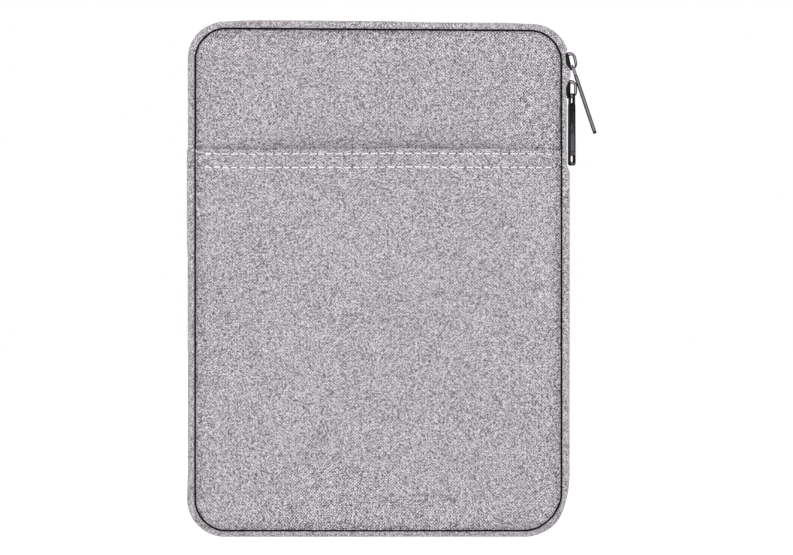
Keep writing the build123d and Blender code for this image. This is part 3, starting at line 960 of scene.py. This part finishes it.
def zipper():
    """Tape and coil of each half; the coils stay just apart, so that the sliders can pass."""
    route = rounded_route(*zip_line(), closed=False, step=2 * MM, arc_steps=30)
    pitch, steps = 1.35 * MM, 12
    turns = int(distances(route[0])[-1] / pitch)
    phase = np.arange(turns * steps) / steps
    angle = phase * math.tau
    section = in_mm([(0.9, 1.0), (1.0, 2.2), (0.95, 3.5), (0.75, 4.8), (0.5, 6.2)])
    for side, half in SIDES:
        tape = loft("zip_tape_" + half, *route, section, side, TAPE, False, 0.45 * MM, part_tape)
        at, out = zip_frame(route, (phase + (0.5 if side < 0 else 0)) * pitch)
        across = side * ((1.76 + 1.0 * np.cos(angle)) * MM + parted(at))
        rise = 0.62 * MM * np.sin(angle)
        at = at + out * rise[:, None]
        coil = tube("zip_coil_" + half, np.stack([at[:, 0], across, at[:, 1]], -1), 0.30 * MM, COIL, sides=6)
        for piece, kind in ((tape, "tape"), (coil, "coil")):
            if side < 0:
                fold_with_front(piece, "zip_" + kind, "zipper_" + kind + "_" + half)
            else:
                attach(finish_piece(piece, "zip_" + kind, "zipper_" + kind + "_" + half), "case_body")


def end_tabs():
    """A folded tab of fabric over each end of the zip."""
    low, high, half_width = TAB[0].z - 1.0 * MM, TAB[1].z + 1.5 * MM, 5.9 * MM
    for side, label in ((-1, "left"), (1, "right")):
        verts, uvs = [], []
        for z in np.linspace(low, high, 9):
            for y in np.linspace(-half_width, half_width, 13):
                rim = max(abs(y) / half_width, abs(2 * (z - low) / (high - low) - 1))
                out = WIDTH / 2 - SIDE_RECESS + 0.18 * MM - 0.35 * MM * rim**6
                verts.append((side * out, y, z))
                uvs.append((y, z))
        tab = make_mesh("zip_tab_" + label, verts, quads(9, 13, flip=side < 0), uvs, MELANGE)
        apply_modifier(tab, "SOLIDIFY", thickness=0.7 * MM, offset=-1)
        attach(finish_piece(tab, "melange", "zip_end_tab_" + label), "case_body")


def cut_plate(name, loops, thick, bevel, side, face):
    """A rounded metal plate in the YZ plane, from loops of (y, z, radius) corners; inner loops are holes."""
    curve = bpy.data.curves.new(name, "CURVE")
    curve.dimensions = "2D"
    curve.fill_mode = "BOTH"
    curve.extrude = thick / 2 - bevel
    curve.bevel_depth = bevel
    curve.bevel_resolution = 2
    curve.offset = -bevel
    for loop in loops:
        points = []
        for i, (y, z, radius) in enumerate(loop):
            here = np.array([y, z])
            before, after = np.array(loop[i - 1][:2]), np.array(loop[(i + 1) % len(loop)][:2])
            d, e = before - here, after - here
            d, e = d / np.linalg.norm(d), e / np.linalg.norm(e)
            half = math.acos(np.clip(d @ e, -1, 1)) / 2
            reach = radius / math.tan(half)
            middle = (d + e) / np.linalg.norm(d + e)
            centre = here + middle * radius / math.sin(half)
            start, end = here + d * reach - centre, here + e * reach - centre
            for k in range(9):
                arm = start * (1 - k / 8) + end * k / 8
                points.append(centre + arm / np.linalg.norm(arm) * radius)
        spline = curve.splines.new("POLY")
        spline.points.add(len(points) - 1)
        for point, (y, z) in zip(spline.points, points):
            point.co = (y, z, 0, 1)
        spline.use_cyclic_u = True
    shape = bpy.data.objects.new(name + "_shape", curve)
    bpy.context.scene.collection.objects.link(shape)
    bpy.context.view_layer.update()
    mesh = bpy.data.meshes.new_from_object(shape.evaluated_get(bpy.context.evaluated_depsgraph_get()))
    bpy.data.objects.remove(shape)
    mesh.transform(Matrix(((0, 0, 1, 0), (1, 0, 0, 0), (0, 1, 0, 0), (0, 0, 0, 1))))
    obj = bpy.data.objects.new(name, mesh)
    bpy.context.scene.collection.objects.link(obj)
    mesh.materials.clear()
    for material in (side, face, METAL_EDGE_SHADE):
        mesh.materials.append(material)
    # each face takes a copy by which way it points: flats facing across take face, other flats side, rounded
    # bevels the near-black edge copy; painted light and shade
    for polygon in mesh.polygons:
        normal = [abs(c) for c in polygon.normal]
        flat = max(normal) > 0.99
        polygon.material_index = (1 if normal[0] > 0.99 else 0) if flat else 2
        polygon.use_smooth = not flat
    return obj


def tapered_loop(half_top, half_foot, top, foot, r_top, r_foot):
    """Corners of a hole or plate that widens or narrows downwards, given in millimetres."""
    return in_mm([(-half_top, top, r_top), (half_top, top, r_top), (half_foot, foot, r_foot),
                  (-half_foot, foot, r_foot)])


def pull_meshes(label):
    """The pull hangs along -Z from its cross bar: eye, rimmed body and sunk middle."""
    parts = [cut_plate("eye", [tapered_loop(1.9, 1.9, 0.45, -6.0, 0.8, 0.2),
                               tapered_loop(1.45, 1.45, -0.45, -4.6, 0.5, 0.5)], 0.9 * MM, 0.2 * MM,
                       METAL_SHADED, METAL_SHADED)]
    for side in (-1, 1):
        leg = in_mm([(side * 1.92, -0.9, 0.1), (side * 1.4, -0.9, 0.1), (side * 1.4, -5.6, 0.1),
                     (side * 1.96, -5.6, 0.1)])
        parts.append(cut_plate("leg", [leg], 1.7 * MM, 0.16 * MM, GUNMETAL, METAL_SHADED))
    parts.append(cut_plate("rim", [tapered_loop(2.35, 2.55, -5.0, -37.8, 0.7, 1.5),
                                   tapered_loop(1.45, 1.6, -6.8, -30.2, 0.5, 0.5),
                                   tapered_loop(1.5, 1.6, -32.4, -36.0, 1.1, 1.1)], 1.9 * MM, 0.55 * MM,
                           GUNMETAL, METAL_SHADED))
    # the sunk middle takes the darker copy: painted shade in the recess
    parts.append(cut_plate("web", [tapered_loop(1.75, 1.9, -6.5, -30.5, 0.5, 0.5)], 1.3 * MM, 0.1 * MM,
                           METAL_SHADED, METAL_SHADED))
    return join("pull_" + label + "_metal", parts)


def hardware():
    """Bridges and pulls are drawn again with rounded edges; the slider bodies keep their CAD shapes."""
    pivots = {j["name"]: Vector(j["pos_m"]) for j in frame["joints"] if "pos_m" in j}
    tilt = {"upper": math.radians(-12.4), "lower": 0.0}
    hang = {"upper": Matrix.Rotation(math.radians(-18.5), 4, "Y"),
            "lower": Matrix.Rotation(math.radians(-40), 4, "Z")}
    arch = in_mm([(1.7, -4.85, 0.3), (6.5, -4.85, 3.6), (6.5, 4.85, 3.6), (1.7, 4.85, 0.3)])
    window = in_mm([(3.0, -3.3, 0.3), (4.9, -3.3, 0.8), (4.9, 2.9, 1.2), (3.0, 2.9, 0.5)])
    foot = in_mm([(1.3, -4.9, 0.4), (3.0, -4.6, 0.3), (3.0, 3.9, 1.0), (1.3, 4.9, 0.4)])
    middle = Matrix.Translation((-3.65 * MM, 0, 2.7 * MM))
    for label in ("upper", "lower"):
        pivot = Matrix.Translation(pivots[label + "_pull_swing"])
        pull = pull_meshes(label)
        pull.data.transform(pivot @ hang[label])
        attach(finish_piece(pull, "gunmetal", "pull_" + label), "pull_" + label)
        # bridge sides take the darker copy and its broad faces the lighter copy, and the foot is all
        # near-black: painted highlight and painted shade
        bridge = cut_plate("bridge_" + label, [arch, window], 1.4 * MM, 0.55 * MM, METAL_SHADED, METAL_HIGHLIGHT)
        plate = cut_plate("foot", [foot], 1.7 * MM, 0.3 * MM, METAL_EDGE_SHADE, METAL_EDGE_SHADE)
        bridge = join("slider_" + label + "_bridge_metal", [bridge, plate])
        bridge.data.transform(pivot @ Matrix.Rotation(tilt[label], 4, "Y") @ middle
                              @ Matrix.Rotation(-math.pi / 2, 4, "Z"))
        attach(finish_piece(bridge, "gunmetal", "slider_" + label + "_bridge"), "slider_" + label)
        body = frame["nodes"]["slider_" + label + "_body"]
        # the slider body is coloured with the near-black edge copy: painted shade
        body.data.materials.clear()
        body.data.materials.append(METAL_EDGE_SHADE)


# ---- light, floor and camera ---------------------------------------------------------------------------
def stage():
    """A pale floor that glows a little, an even white world and two soft lamps."""
    floor = bpy.data.materials.new("floor")
    floor.use_nodes = True
    look = floor.node_tree.nodes["Principled BSDF"].inputs
    look["Base Color"].default_value = (0.25, 0.25, 0.25, 1)
    look["Roughness"].default_value = 0.9
    look["Emission Color"].default_value = (1, 1, 1, 1)
    look["Emission Strength"].default_value = 0.9
    reach = 15.0
    corners = [(-reach, -reach, 0), (reach, -reach, 0), (reach, reach, 0), (-reach, reach, 0)]
    ground = make_mesh("floor", corners, [(0, 1, 2, 3)], [c[:2] for c in corners], floor)

    world = bpy.data.worlds.new("studio")
    bpy.context.scene.world = world
    world.use_nodes = True
    world.node_tree.nodes["Background"].inputs["Color"].default_value = (1, 1, 1, 1)
    world.node_tree.nodes["Background"].inputs["Strength"].default_value = 1.0

    def lamp(name, place, power, size, target=(0, 0, 0.136)):
        light = bpy.data.lights.new(name, "AREA")
        light.energy = power
        light.size = size
        obj = bpy.data.objects.new(name, light)
        obj.location = place
        obj.rotation_euler = (Vector(target) - Vector(place)).to_track_quat("-Z", "Y").to_euler()
        bpy.context.scene.collection.objects.link(obj)

    lamp("key", (-0.9, -1.6, 1.5), 9.0, 1.2)
    lamp("fill", (1.2, -1.4, 0.9), 4.0, 1.2)


def camera():
    """Square on to the front through a long lens, as the case is pictured."""
    data = bpy.data.cameras.new("camera")
    view_width, distance = 418.5 * MM, 6.0
    data.sensor_width = 36.0
    data.lens = data.sensor_width * distance / view_width
    obj = bpy.data.objects.new("camera", data)
    obj.location = (9.6 * MM, -FACE - distance, 136.9 * MM)
    obj.rotation_euler = (math.pi / 2, 0, 0)
    bpy.context.scene.collection.objects.link(obj)
    bpy.context.scene.camera = obj


camera()
halves()
seam_cords()
padding_and_lining()
bindings()
pocket()
stitches()
gusset()
zipper()
end_tabs()
hardware()
stage()
bpy.context.scene.view_settings.view_transform = "Standard"
